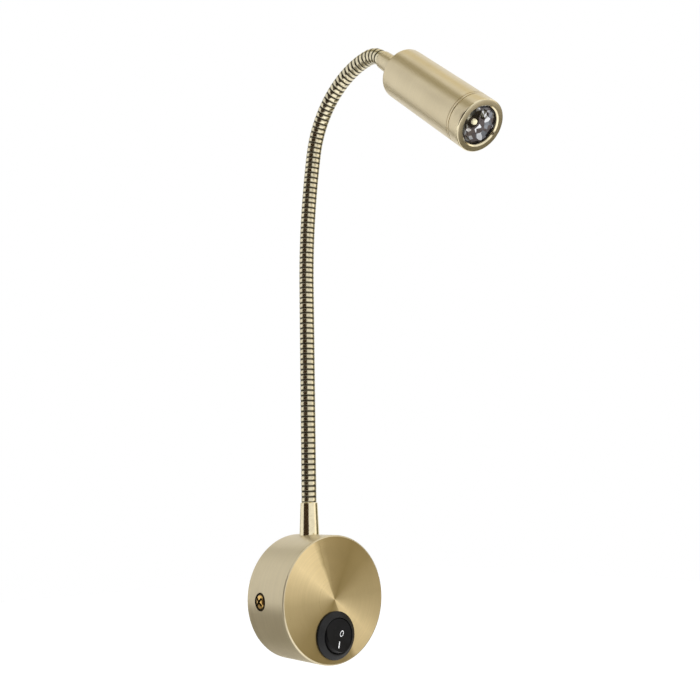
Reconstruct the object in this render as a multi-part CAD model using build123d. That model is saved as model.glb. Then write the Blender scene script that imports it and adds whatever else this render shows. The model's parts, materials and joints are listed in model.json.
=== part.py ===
from build123d import *
import os
from math import cos, radians, sin, sqrt, tan

# Bedside wall reading lamp: a drum-shaped wall base with a rocker switch, a ribbed
# flexible neck and a small spotlight head.
# Millimetres. The wall is the plane y = 0, the lamp stands out towards -Y, +Z is up.
# The origin is the centre of the base's back, on the wall.

# ------------------------------------------------------------------ driving dimensions

# Fits and gaps
seat_gap = 0.02            # between pieces that are pressed or screwed together
slip_gap = 0.1             # between pieces that slide into one another by hand
free_gap = 0.3             # between pieces that only pass one another
pin_gap = 0.05             # running fit round a hinge pin, on the radius

# Base cover: a spun cup whose closed end faces the room
base_r = 31.0
base_depth = 30.5
base_wall = 1.5
base_edge_r = 0.7          # rounding of the front rim
base_wall_gap = 0.3        # the cup's back rim stops this short of the wall

# Mounting bracket: a round plate with two bent ears
plate_t = 1.5
plate_rim_gap = 1.3        # between the plate's edge and the cup
ear_width = 10.0
ear_length = 17.0          # from the wall
ear_t = 1.5
ear_corner_r = 2.0
cable_hole_r = 5.0
cable_hole_drop = 9.0      # centre below the base's centre
wall_screw_spacing = 36.0
wall_slot_length = 9.0
wall_slot_width = 4.4

# Side screws that hold the cup on the ears
side_screw_depth = 11.2    # from the wall
screw_shank_r = 2.0
screw_head_r = 3.8
screw_head_t = 1.6
screw_dome_r = 7.0
screw_length = 7.0
screw_recess_w = 5.2       # cross recess, tip to tip
screw_recess_slot = 1.2
screw_recess_t = 1.1
screw_recess_turn = 45.0   # degrees, how far the screws were driven round
spotface_r = 4.4
spotface_t = 0.9           # under the cup's highest point

# Rocker switch, round, snapped into the cup's front
switch_edge = 2.5          # from its bezel to the cup's lowest point
switch_turn = 30.0         # degrees, clockwise as seen from the room
switch_r = 10.0            # housing
bezel_r = 11.5
bezel_t = 2.6              # at its inner rim
bezel_side = 0.9           # at its outer edge
bezel_edge_r = 0.4
bezel_rim = 0.4            # width of the level rim round the recess
housing_depth = 14.0       # behind the cup's front face
recess_r = 8.6
recess_depth = 9.0         # behind the cup's front face
rocker_r = 8.35
rocker_pivot = 0.7         # in front of the cup's front face
rocker_crown = 1.8         # lowest line of the rocker's face, in front of its pivot
rocker_half_angle = 10.0   # each half of the face rises by this, and it tips by it
rocker_skirt = 3.4         # underside behind the pivot
rocker_post_r = 1.6
rocker_post_length = 3.4
trunnion_r = 1.2
trunnion_length = 0.9      # past the rocker's side
snap_width = 4.0
snap_rise = 0.6
snap_length = 4.0
blade_width = 4.8
blade_t = 0.8
blade_length = 8.0
blade_root = 2.0
blade_offset = 4.2         # from the switch's centre, up and down

# Driver and terminal block on the bracket plate
driver_depth = 13.0
driver_corner_r = 1.2
driver_left = 1.0          # its right side, left of the centre
driver_rim_gap = 0.1       # between its square corner and the cup
driver_head_room = 4.0     # above it, for the wires from the neck
block_width = 15.0
block_height = 10.0
block_depth = 10.0
block_left = 3.0           # its left side, right of the centre
block_step = 3.0
block_screw_r = 1.6
block_entry_r = 1.5
block_poles = (0.25, 0.75)  # shares of the block's width
electrics_ear_gap = 2.5    # from the ears' upper edge to the underside of both

# Neck collars: one turned part, used at both ends of the neck
neck_depth = 10.5          # the neck leaves the base this far from the wall
collar_length = 16.2
head_collar_length = 18.5  # the one at the head is longer
collar_foot_r = 5.1
collar_mouth_r = 4.45
collar_edge_r = 0.4
collar_bore_r = 2.2
collar_socket_depth = 5.0
stub_r = 3.5
stub_length = 7.5          # past the collar's foot
nut_flats = 10.0
nut_t = 2.8
washer_r = 5.6
washer_t = 0.8

# Flexible neck: a ribbed metal hose, straight at first and then bent over
rib_count = 96
rib_crest_r = 3.95
rib_root_r = 3.65
rib_flank = 0.2            # share of the pitch that each flank of a rib takes
hose_bore_r = 2.0
spigot_r = 3.2
straight_run = 113.7
gentle_bend_r = 340.0
gentle_bend_turn = 12.3    # degrees
main_bend_r = 46.9
main_bend_turn = 79.0      # degrees
tight_bend_r = 13.8
head_droop = 42.4          # degrees, the head's axis below the horizontal
end_run = 3.0              # straight again before the upper collar

# The hose is cut into rigid lengths that turn on one another at hidden balls
joint_ribs = (14, 28, 41, 55, 69, 82)   # ribs below each ball
joint_range = 25.0         # degrees each way
joint_half_gap = 1.05      # rib edge to ball centre, on each side
joint_edge = 0.25          # chamfer of the ribs that face a joint
ball_r = 3.0
ball_gap = 0.15

# Two-core lead inside the neck
lead_r = 1.3
lead_half_gap = 0.15
lead_end_angles = (75, 50, 25)   # of the circles that shape a round end
wire_r = 0.6
wire_bend_r = 1.0
wire_lead = 1.5            # straight at a wire's ends
wire_blade_drop = 2.0      # from the blades' tips back to where wires cross the base

# Head
head_r = 12.25
head_length = 65.0         # rear face to front face
head_wall = 1.3
head_rear_wall = 3.0
head_rear_edge_r = 2.0
bezel_ring_length = 7.6
groove_width = 0.5
groove_depth = 0.5
bezel_lip_t = 1.4
bezel_front_edge = 0.5
bezel_inner_bevel = 0.9
skirt_length = 6.0
skirt_wall = 0.9
seal_t = 0.5
seal_width = 0.55
lens_flange_t = 1.2
lens_depth = 10.5
lens_foot_r = 4.6
lens_cup_r = 2.9
lens_cup_depth = 3.6
lens_dimple_r = 3.0
lens_dimple_t = 0.8
holder_wall = 0.7
holder_floor = 1.0
board_t = 1.6
emitter_r = 2.5
emitter_t = 0.9
dome_r = 1.9
heat_sink_length = 16.0
heat_sink_core_r = 7.4
fin_count = 12
fin_slot_width = 1.6
wire_hole_r = 1.1
wire_hole_offset = 5.2

# ------------------------------------------------------------------ derived places

cup_inner_r = base_r - base_wall
plate_r = cup_inner_r - plate_rim_gap
ear_outer_x = sqrt(cup_inner_r ** 2 - (ear_width / 2) ** 2) - slip_gap
collar_top_z = base_r + collar_length
switch_drop = base_r - switch_edge - bezel_r
blade_tip = housing_depth + blade_length
wire_depth = base_depth - blade_tip - wire_blade_drop
electrics_height = ear_width / 2 + electrics_ear_gap
driver_top = base_r - stub_length - driver_head_room
driver_height = driver_top - electrics_height
driver_reach = sqrt((cup_inner_r - driver_rim_gap) ** 2 - driver_top ** 2)
driver_width = driver_reach - driver_left
rocker_rest = -rocker_half_angle
lens_r = head_r - head_wall - slip_gap - skirt_wall - slip_gap
opening_r = lens_r - seal_width - free_gap

BOTTOM = (Align.CENTER, Align.CENTER, Align.MIN)
TOP = (Align.CENTER, Align.CENTER, Align.MAX)

# Drawing planes: local z points out of the wall, or out of the cup's front at the switch
WALL = Plane(origin=(0, 0, 0), x_dir=(1, 0, 0), z_dir=(0, -1, 0))
switch_x = (cos(radians(switch_turn)), 0, -sin(radians(switch_turn)))
SWITCH = Plane(origin=(0, -base_depth, -switch_drop), x_dir=switch_x, z_dir=(0, -1, 0))
NECK = Plane(origin=(0, -neck_depth, base_r), x_dir=(1, 0, 0), z_dir=(0, 0, 1))


# ------------------------------------------------------------------ small helpers

def disc(radius, start, end):
    """A cylinder on the local z axis from start to end."""
    return Pos(0, 0, start) * Cylinder(radius, end - start, align=BOTTOM)


def tube(outer, inner, start, end):
    """A round tube on the local z axis."""
    return disc(outer, start, end) - disc(inner, start - 1, end + 1)


def block(width, height, depth, x, y, z):
    """A box whose low corner is at x, y, z."""
    return Pos(x, y, z) * Box(width, height, depth, align=(Align.MIN,) * 3)


def rod(start, direction, radius, length):
    """A cylinder from a point along a direction."""
    return Plane(origin=start, z_dir=direction) * Cylinder(radius, length, align=BOTTOM)


def turned(points):
    """A solid turned about the local z axis from a closed outline of (radius, z) points."""
    outline = make_face(Plane.XZ * Polyline(*points, close=True))
    return revolve(outline, Axis.Z)


def wire(points):
    """An insulated wire along straight runs with rounded corners."""
    line = FilletPolyline(*points, radius=wire_bend_r)
    return sweep(Plane(origin=line @ 0, z_dir=line % 0) * Circle(wire_r), path=line).solid()


# ------------------------------------------------------------------ the neck's centre line

def neck_runs():
    """The centre line's runs from the lower collar up: (length, turn in radians)."""
    gentle = radians(gentle_bend_turn)
    main = radians(main_bend_turn)
    tight = radians(90 + head_droop) - gentle - main
    return (
        (straight_run, 0.0),
        (gentle_bend_r * gentle, gentle),
        (main_bend_r * main, main),
        (tight_bend_r * tight, tight),
        (end_run, 0.0),
    )


neck_length = sum(length for length, turn in neck_runs())
rib_pitch = neck_length / rib_count


def neck_plane(s):
    """The plane square to the neck at distance s along it, with a steady X axis."""
    y, z, lean = -neck_depth, collar_top_z, 0.0
    left = s
    for length, turn in neck_runs():
        last = turn == 0.0 and lean > 0
        step = left if last else min(left, length)
        if s < 0:
            step = s
        if turn:
            radius = length / turn
            y += radius * (cos(lean + step / radius) - cos(lean))
            z += radius * (sin(lean + step / radius) - sin(lean))
            lean += step / radius
        else:
            y -= step * sin(lean)
            z += step * cos(lean)
        left -= step
        if left <= 0:
            break
    return Plane(origin=(0, y, z), x_dir=(1, 0, 0), z_dir=(0, -sin(lean), cos(lean)))


HEAD = neck_plane(neck_length)


# ------------------------------------------------------------------ base

def base_cover():
    cup = disc(base_r, base_wall_gap, base_depth)
    cup = fillet(cup.edges().sort_by(Axis.Z)[-1:], base_edge_r)
    cup -= disc(cup_inner_r, -1, base_depth - base_wall)
    cup = WALL * cup
    cup -= SWITCH * disc(switch_r + slip_gap, -base_wall - 1, 1)
    cup -= NECK * disc(stub_r + slip_gap, -2 * base_wall, 1)
    for side in (-1, 1):
        hole = (side * (base_r - 2 * base_wall), -side_screw_depth, 0)
        face = (side * (base_r - spotface_t), -side_screw_depth, 0)
        cup -= rod(hole, (side, 0, 0), screw_shank_r + free_gap, 4 * base_wall)
        cup -= rod(face, (side, 0, 0), spotface_r, 2 * base_wall)
    return cup


def mounting_bracket():
    plate = disc(plate_r, 0, plate_t)
    for side in (-1, 1):
        ear = Box(ear_t, ear_width, ear_length, align=BOTTOM)
        ear = fillet(ear.edges().filter_by(Axis.X).sort_by(Axis.Z)[-2:], ear_corner_r)
        foot_x = ear_outer_x - ear_t
        arm = block(foot_x, ear_width, plate_t, 0, -ear_width / 2, 0)
        plate += Pos(side * (ear_outer_x - ear_t / 2), 0, 0) * ear
        plate += arm if side > 0 else mirror(arm, Plane.YZ)
    plate -= Pos(0, -cable_hole_drop, 0) * disc(cable_hole_r, -1, plate_t + 1)
    for side in (-1, 1):
        slot = SlotOverall(wall_slot_length, wall_slot_width)
        plate -= Pos(side * wall_screw_spacing / 2, 0, -1) * extrude(slot, plate_t + 2)
    plate = WALL * plate
    for side in (-1, 1):
        start = (side * (ear_outer_x - 2 * ear_t), -side_screw_depth, 0)
        plate -= rod(start, (side, 0, 0), screw_shank_r + seat_gap, 3 * ear_t)
    return plate


def side_screw():
    """Pan-head screw with a cross recess; local z runs out of its head, 0 under the head."""
    head = disc(screw_head_r, 0, screw_head_t)
    head &= Pos(0, 0, screw_head_t - screw_dome_r) * Sphere(screw_dome_r)
    screw = head + disc(screw_shank_r, -screw_length, 0)
    arm = Box(screw_recess_w, screw_recess_slot, screw_recess_t, align=TOP)
    turn = Rot(0, 0, screw_recess_turn)
    cross = Pos(0, 0, screw_head_t) * turn * (arm + Rot(0, 0, 90) * arm)
    return screw - cross


def side_screws():
    under_head = base_r - spotface_t + seat_gap
    screws = []
    for side in (-1, 1):
        seat = Plane(origin=(side * under_head, -side_screw_depth, 0), z_dir=(side, 0, 0))
        screws.append(seat * side_screw())
    return Compound(children=[screw.solid() for screw in screws])


def led_driver():
    low = (-driver_left - driver_width, electrics_height, plate_t)
    case = block(driver_width, driver_height, driver_depth, *low)
    upright = case.edges().filter_by(Axis.Z)
    front = case.edges().group_by(Axis.Z)[-1]
    return WALL * fillet(upright + front, driver_corner_r)


def terminal_block():
    body = block(block_width, block_height, block_depth - block_step,
                 block_left, electrics_height, plate_t)
    body += block(block_width, block_height - 2 * block_step, block_depth,
                  block_left, electrics_height + block_step, plate_t)
    for pole in block_poles:
        x = block_left + pole * block_width
        middle = electrics_height + block_height / 2
        body -= Pos(x, middle, plate_t + block_depth) * Cylinder(
            block_screw_r, block_depth, align=(Align.CENTER, Align.CENTER, Align.CENTER))
        entry = Pos(x, electrics_height - 1, plate_t + block_step) * Rot(-90, 0, 0)
        body -= entry * Cylinder(block_entry_r, block_height + 2, align=BOTTOM)
    return WALL * body


# ------------------------------------------------------------------ rocker switch

def switch_body():
    flange = turned((
        (0, 0),
        (bezel_r, 0),
        (bezel_r, bezel_side),
        (recess_r + bezel_rim, bezel_t),
        (0, bezel_t),
    ))
    flange = fillet(flange.edges().group_by(Axis.Z)[1:], bezel_edge_r)
    body = flange + disc(switch_r, -housing_depth, 0)
    body -= disc(recess_r, -recess_depth, bezel_t + 1)
    reach = rocker_r + trunnion_length + slip_gap
    body -= Pos(0, 0, rocker_pivot) * Rot(0, 90, 0) * Cylinder(
        trunnion_r + pin_gap, 2 * reach)
    behind = -base_wall - slip_gap
    for side in (-1, 1):
        wedge = make_face(Plane.XZ * Polyline(
            (side * (switch_r - 0.5), behind),
            (side * (switch_r + snap_rise), behind),
            (side * (switch_r - 0.5), behind - snap_length),
            close=True))
        body += extrude(wedge, snap_width / 2, both=True)
    for blade in switch_blades():
        body -= blade
    return SWITCH * body


def switch_blades():
    """The two contact blades, in the switch's own frame."""
    length = blade_root + blade_length
    blades = []
    for side in (-1, 1):
        blade = Box(blade_width, blade_t, length, align=TOP)
        blades.append(Pos(0, side * blade_offset, blade_root - housing_depth) * blade)
    return blades


def switch_terminals():
    return Compound(children=[(SWITCH * blade).solid() for blade in switch_blades()])


def switch_rocker():
    """Drawn level and then tipped to rest, its upper half pressed in."""
    rise = rocker_r * tan(radians(rocker_half_angle))
    outline = make_face(Plane.YZ * Polyline(
        (-rocker_r, -rocker_skirt),
        (rocker_r, -rocker_skirt),
        (rocker_r, rocker_crown + rise),
        (0, rocker_crown),
        (-rocker_r, rocker_crown + rise),
        close=True))
    rocker = extrude(outline, rocker_r, both=True) & Sphere(rocker_r)
    rocker += disc(rocker_post_r, -rocker_skirt - rocker_post_length, 0)
    rocker += Rot(0, 90, 0) * Cylinder(trunnion_r, 2 * (rocker_r + trunnion_length))
    return SWITCH * Pos(0, 0, rocker_pivot) * Rot(rocker_rest, 0, 0) * rocker


# ------------------------------------------------------------------ collars and nuts

def collar_blank(length, below):
    """The turned outside of a collar, its foot at z = 0 and drawn on below it."""
    blank = turned((
        (0, 0),
        (collar_foot_r, 0),
        (collar_mouth_r, length - collar_edge_r),
        (collar_mouth_r - collar_edge_r, length),
        (0, length),
    ))
    return blank + disc(collar_foot_r, -below, 0) if below else blank


def collar_bore(length):
    """The way for the lead through a collar, and the socket for the hose's spigot."""
    way = disc(collar_bore_r, -stub_length - 1, length + 1)
    return way + disc(spigot_r + seat_gap, length - collar_socket_depth, length + 1)


def neck_collar_lower():
    """The foot is cut to the drum's round side, and the stub passes through it."""
    collar = NECK * collar_blank(collar_length, collar_foot_r)
    collar -= WALL * disc(base_r, -1, base_depth + 1)
    collar += NECK * disc(stub_r, -stub_length, 1)
    return collar - NECK * collar_bore(collar_length)


def neck_collar_upper():
    """The same collar turned round: its mouth takes the hose, its foot meets the head."""
    collar = collar_blank(head_collar_length, 0) + disc(stub_r, -stub_length, 1)
    collar -= collar_bore(head_collar_length)
    return HEAD * Pos(0, 0, head_collar_length) * Rot(180, 0, 0) * collar


def hex_nut(bore):
    nut = extrude(RegularPolygon(nut_flats / 2, 6, major_radius=False), nut_t)
    return nut - disc(bore, -1, nut_t + 1)


def neck_washer_lower():
    top = sqrt(cup_inner_r ** 2 - washer_r ** 2) - base_r - seat_gap
    return NECK * tube(washer_r, stub_r + slip_gap, top - washer_t, top)


def neck_nut_lower():
    top = sqrt(cup_inner_r ** 2 - washer_r ** 2) - base_r - washer_t - 2 * seat_gap
    return NECK * Pos(0, 0, top - nut_t) * hex_nut(stub_r + seat_gap)


def neck_nut_upper():
    inner_face = head_collar_length + head_rear_wall + seat_gap
    return HEAD * Pos(0, 0, inner_face) * hex_nut(stub_r + seat_gap)


# ------------------------------------------------------------------ ribbed hose and its lead

def hose_ends(k):
    """Where hose length k starts and ends along the neck, and whether a joint is there."""
    cuts = (0,) + joint_ribs + (rib_count,)
    return cuts[k], cuts[k + 1], k > 0, k < len(joint_ribs)


def ring(s, radius):
    return Wire.make_circle(radius, neck_plane(s))


def hose_rings(k):
    """Four circles for each rib: root, crest, crest, root."""
    first, last, joint_below, joint_above = hose_ends(k)
    rings = []
    for rib in range(first, last):
        low = rib * rib_pitch
        high = low + rib_pitch
        flank = rib_flank * rib_pitch
        crest_low, crest_high = low + flank, high - flank
        foot_low = foot_high = rib_root_r
        if rib == first and joint_below:
            low += joint_half_gap
            crest_low, foot_low = low + joint_edge, rib_crest_r - joint_edge
        if rib == last - 1 and joint_above:
            high -= joint_half_gap
            crest_high, foot_high = high - joint_edge, rib_crest_r - joint_edge
        if rib == first:
            rings.append(ring(low, foot_low))
        rings.append(ring(crest_low, rib_crest_r))
        rings.append(ring(crest_high, rib_crest_r))
        rings.append(ring(high, foot_high))
    return rings


def core(start, end, radius, steps, before=0.0, after=0.0):
    """A smooth round core along the neck, run straight on before and after its ends."""
    if end <= straight_run:
        return neck_plane(start) * disc(radius, -before, end - start + after)
    planes = [neck_plane(start + (end - start) * i / steps) for i in range(steps + 1)]
    if before:
        planes.insert(0, planes[0].offset(-before))
    if after:
        planes.append(planes[-1].offset(after))
    return Solid.make_loft([Wire.make_circle(radius, place) for place in planes], ruled=True)


def hose_segment(k):
    first, last, joint_below, joint_above = hose_ends(k)
    start, end = first * rib_pitch, last * rib_pitch
    hose = Part() + Solid.make_loft(hose_rings(k), ruled=True)
    if joint_above:
        stem = disc(2 * ball_r, -joint_half_gap - joint_edge, 2 * ball_r)
        hose += neck_plane(end) * (Sphere(ball_r) & stem)
    else:
        hose += neck_plane(end) * disc(spigot_r, -joint_edge, collar_socket_depth - free_gap)
    if joint_below:
        hose -= neck_plane(start) * Sphere(ball_r + ball_gap)
    else:
        hose += neck_plane(start) * disc(spigot_r, -collar_socket_depth + free_gap, joint_edge)
    past = 2 * ball_r
    hose -= core(start, end, hose_bore_r, last - first, past, past)
    if joint_above:
        hose -= neck_plane(end) * ball_flare()
    return hose


def ball_flare():
    """The ball's bore widens outwards, so that the lead above it can swing."""
    swing = tan(radians(joint_range))
    mouth_r = lead_r / cos(radians(joint_range)) + free_gap / 2
    return Cone(mouth_r, mouth_r + ball_r * swing, ball_r, align=BOTTOM)


def lead_ends(k):
    first, last, joint_below, joint_above = hose_ends(k)
    start = first * rib_pitch + (lead_half_gap if joint_below else -collar_length - stub_length)
    end = last * rib_pitch
    end += -lead_half_gap if joint_above else head_collar_length + stub_length
    return start, end


def round_end(s, way):
    """Circles of the lead's round end at s; way is 1 where the lead runs on above it."""
    return [ring(s + way * lead_r * (1 - sin(radians(a))), lead_r * cos(radians(a)))
            for a in lead_end_angles]


def neck_lead(k):
    """The lead's length in one hose length, with a round end at each ball."""
    start, end = lead_ends(k)
    first, last, joint_below, joint_above = hose_ends(k)
    low = start + (lead_r if joint_below else 0)
    high = end - (lead_r if joint_above else 0)
    on_hose = min(high, neck_length)
    steps = 1 if on_hose <= straight_run else last - first
    rings = round_end(start, 1) if joint_below else []
    rings += [ring(low + (on_hose - low) * i / steps, lead_r) for i in range(steps + 1)]
    if high > on_hose:
        rings.append(ring(high, lead_r))
    if joint_above:
        rings += round_end(end, -1)[::-1]
    return Solid.make_loft(rings, ruled=True)


# ------------------------------------------------------------------ head

# Distances along the head's axis from the hose's end
head_rear = head_collar_length
head_front = head_rear + head_length
split = head_front - bezel_ring_length
seal_front = head_front - bezel_lip_t
lens_front = seal_front - seal_t
lens_back = lens_front - lens_depth
holder_back = lens_back - holder_floor
board_back = holder_back - board_t
sink_back = board_back - heat_sink_length
head_bore_r = head_r - head_wall


def head_body():
    body = disc(head_r, head_rear, split)
    body = fillet(body.edges().sort_by(Axis.Z)[:1], head_rear_edge_r)
    body -= disc(head_bore_r, head_rear + head_rear_wall, split + 1)
    body -= disc(stub_r + slip_gap, head_rear - 1, head_rear + head_rear_wall + 1)
    return HEAD * body


def bezel_ring():
    skirt_r = head_bore_r - slip_gap
    inner = skirt_r - skirt_wall
    ring_outline = (
        (opening_r, head_front - bezel_inner_bevel),
        (opening_r + bezel_inner_bevel, head_front),
        (head_r - bezel_front_edge, head_front),
        (head_r, head_front - bezel_front_edge),
        (head_r, split + groove_width),
        (head_r - groove_depth, split + groove_width),
        (head_r - groove_depth, split),
        (skirt_r, split),
        (skirt_r, split - skirt_length),
        (inner, split - skirt_length),
        (inner, seal_front),
        (opening_r, seal_front),
    )
    return HEAD * turned(ring_outline)


def lens_seal():
    return HEAD * tube(lens_r, opening_r + free_gap, lens_front + seat_gap, seal_front - seat_gap)


def lens():
    """A light-guiding lens: a wide flange, a bowl-shaped side and a cup over the emitter."""
    shoulder = lens_front - lens_flange_t
    side_r = lens_r - holder_wall - seat_gap
    outline = Plane.XZ * (
        Polyline((0, lens_front - lens_dimple_t), (lens_dimple_r, lens_front),
                 (lens_r, lens_front), (lens_r, shoulder), (side_r, shoulder))
        + ThreePointArc((side_r, shoulder),
                        (side_r - 0.3 * (side_r - lens_foot_r), (shoulder + lens_back) / 2),
                        (lens_foot_r, lens_back))
        + Polyline((lens_foot_r, lens_back), (lens_cup_r, lens_back),
                   (lens_cup_r, lens_back + lens_cup_depth), (0, lens_back + lens_cup_depth),
                   (0, lens_front - lens_dimple_t))
    )
    return HEAD * revolve(make_face(outline), Axis.Z)


def lens_holder():
    shoulder = lens_front - lens_flange_t
    holder = disc(lens_r, holder_back, shoulder)
    holder -= disc(lens_r - holder_wall, lens_back, shoulder + 1)
    holder -= disc(lens_cup_r, holder_back - 1, lens_back + 1)
    return HEAD * holder


def led_board():
    return HEAD * disc(lens_r, board_back, holder_back)


def led_emitter():
    package = disc(emitter_r, holder_back, holder_back + emitter_t)
    dome = Pos(0, 0, holder_back + emitter_t) * Sphere(dome_r)
    dome &= disc(2 * dome_r, holder_back + emitter_t, head_front)
    return HEAD * (package + dome)


def heat_sink():
    """A finned slug that fills the head behind the light board."""
    sink = disc(head_bore_r - slip_gap, sink_back, board_back)
    slot_depth = head_r - heat_sink_core_r
    for i in range(fin_count):
        slot = Box(slot_depth, fin_slot_width, heat_sink_length - 2, align=BOTTOM)
        place = Rot(0, 0, i * 360 / fin_count) * Pos(heat_sink_core_r + slot_depth / 2, 0, sink_back - 1)
        sink -= place * slot
    for side in (-1, 1):
        sink -= Pos(side * wire_hole_offset, 0, 0) * disc(wire_hole_r, sink_back - 1, board_back + 1)
    return HEAD * sink


def head_wires():
    """Two wires from the end of the neck's lead, through the heat sink to the board."""
    lead_end = head_collar_length + stub_length
    wires = []
    for side in (-1, 1):
        near = side * (wire_r + seat_gap)
        far = side * wire_hole_offset
        run = wire((
            (near, 0, lead_end),
            (near, 0, lead_end + wire_lead),
            (far, 0, sink_back - wire_lead),
            (far, 0, board_back),
        ))
        wires.append(HEAD * run)
    return Compound(children=wires)


# ------------------------------------------------------------------ wiring in the base

def driver_output_wires():
    """Two wires from the foot of the neck's lead to the top of the driver."""
    foot = base_r - stub_length
    top = electrics_height + driver_height
    middle = -plate_t - driver_depth / 2
    wires = []
    for side in (-1, 1):
        x = side * (wire_r + seat_gap)
        driver_x = x - driver_left - driver_width / 6
        wires.append(wire((
            (x, -neck_depth, foot),
            (x, -neck_depth, foot - wire_lead),
            (driver_x, middle, top + wire_lead),
            (driver_x, middle, top),
        )))
    return Compound(children=wires)


def switch_wires():
    """From the tips of the switch's blades up to the driver and to the terminal block."""
    driver_x = -driver_left - driver_width / 2
    block_x = block_left + block_width * block_poles[-1]
    entry = -plate_t - block_step
    upper, lower = [SWITCH.from_local_coords((0, side * blade_offset, -blade_tip))
                    for side in (1, -1)]
    to_driver = wire((
        tuple(upper),
        (upper.X, -wire_depth, upper.Z),
        (driver_x, -wire_depth, upper.Z + wire_lead),
        (driver_x, -wire_depth, electrics_height),
    ))
    to_block = wire((
        tuple(lower),
        (lower.X, -wire_depth, lower.Z),
        (block_x, -wire_depth, lower.Z + wire_lead),
        (block_x, entry, electrics_height - wire_lead),
        (block_x, entry, electrics_height + block_height / 4),
    ))
    return Compound(children=[to_driver, to_block])


# ------------------------------------------------------------------ files

def parts():
    nodes = {
        "base_cover": base_cover(),
        "mounting_bracket": mounting_bracket(),
        "side_screws": side_screws(),
        "led_driver": led_driver(),
        "terminal_block": terminal_block(),
        "switch_body": switch_body(),
        "switch_rocker": switch_rocker(),
        "switch_terminals": switch_terminals(),
        "switch_wires": switch_wires(),
        "driver_output_wires": driver_output_wires(),
        "neck_collar_lower": neck_collar_lower(),
        "neck_washer_lower": neck_washer_lower(),
        "neck_nut_lower": neck_nut_lower(),
        "neck_collar_upper": neck_collar_upper(),
        "neck_nut_upper": neck_nut_upper(),
        "head_body": head_body(),
        "heat_sink": heat_sink(),
        "led_board": led_board(),
        "led_emitter": led_emitter(),
        "lens_holder": lens_holder(),
        "lens": lens(),
        "lens_seal": lens_seal(),
        "bezel_ring": bezel_ring(),
        "head_wires": head_wires(),
    }
    for k in range(len(joint_ribs) + 1):
        nodes[f"hose_segment_{k + 1}"] = hose_segment(k)
        nodes[f"neck_lead_{k + 1}"] = neck_lead(k)
    return nodes


os.makedirs("parts", exist_ok=True)
for name, solid in parts().items():
    export_step(solid, f"parts/{name}.step")
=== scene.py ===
import json
from math import cos, hypot, pi, radians, sin, tan

import bmesh
import bpy
from bpy.props import FloatProperty, FloatVectorProperty, IntProperty, PointerProperty
from mathutils import Matrix, Vector


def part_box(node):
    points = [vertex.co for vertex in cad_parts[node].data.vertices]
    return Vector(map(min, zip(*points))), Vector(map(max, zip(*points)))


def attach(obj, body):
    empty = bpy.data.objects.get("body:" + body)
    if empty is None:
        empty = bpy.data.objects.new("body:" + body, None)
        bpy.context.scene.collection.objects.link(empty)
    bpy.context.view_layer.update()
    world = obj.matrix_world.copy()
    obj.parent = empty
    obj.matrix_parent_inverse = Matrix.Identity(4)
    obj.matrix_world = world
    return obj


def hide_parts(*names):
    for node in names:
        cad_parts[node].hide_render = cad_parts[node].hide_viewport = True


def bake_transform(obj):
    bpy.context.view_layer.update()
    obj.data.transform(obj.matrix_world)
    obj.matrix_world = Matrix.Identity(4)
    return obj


bl_info = {
    "name": "Wall Reading Lamp",
    "version": (1, 0, 0),
    "blender": (4, 5, 0),
    "location": "View3D > Sidebar > Lamp",
    "description": "Dresses a flexible-neck wall reading lamp round its packed frame",
    "category": "Object",
}

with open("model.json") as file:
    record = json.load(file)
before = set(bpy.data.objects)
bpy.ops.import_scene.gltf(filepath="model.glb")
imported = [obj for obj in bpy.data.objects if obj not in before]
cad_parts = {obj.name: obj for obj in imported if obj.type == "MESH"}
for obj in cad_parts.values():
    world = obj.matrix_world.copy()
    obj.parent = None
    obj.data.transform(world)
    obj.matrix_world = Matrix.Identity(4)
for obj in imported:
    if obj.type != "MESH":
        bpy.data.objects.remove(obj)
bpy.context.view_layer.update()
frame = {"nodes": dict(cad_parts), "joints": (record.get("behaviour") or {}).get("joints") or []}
MM = 0.001
IMAGE_SIZE = 700           # pixels, each way
ON_AXIS = 1e-7             # a smaller radius lies on the axis of turning


def node_size(node, axis):
    """A CAD node's length along an axis, in metres."""
    low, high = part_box(node)
    return high[axis] - low[axis]


def joint_at(name):
    """Where a joint of the frame turns, in metres."""
    for joint in frame["joints"]:
        if joint["name"] == name:
            return Vector(joint["pos_m"])
    raise RuntimeError(f"the frame has no joint {name}")


# ------------------------------------------------------------------ sizes a user may change

def length(name, about, default):
    """A length that a user may change, in metres."""
    return FloatProperty(name=name, description=about, default=default, min=0.0,
                         subtype="DISTANCE", unit="LENGTH", precision=5)


def angle(name, about, default):
    """An angle that a user may change, its default given in degrees."""
    return FloatProperty(name=name, description=about, default=radians(default),
                         subtype="ANGLE", unit="ROTATION")


def colour(name, about, default):
    """A colour that a user may change."""
    return FloatVectorProperty(name=name, description=about, default=default, size=3,
                               min=0.0, max=1.0, subtype="COLOR")


class LampView(bpy.types.PropertyGroup):
    """Where the picture is taken from."""
    turn: angle("Turn", "How far the camera stands to the lamp's left", 39.8)
    tilt: angle("Tilt", "How far it looks up", 9.45)
    roll: angle("Roll", "How far it leans over", -1.1)
    distance: length("Distance", "From the camera to the point it aims at", 0.5101)
    aim_side: length("Aim across", "The aimed point, right of the lamp's middle", 0.0382)
    aim_height: length("Aim height", "The aimed point, above the base's middle", 0.1318)
    focal_pixels: FloatProperty(name="Focal length", description="In pixels of the picture",
                                default=900.0, min=100.0)


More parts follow.
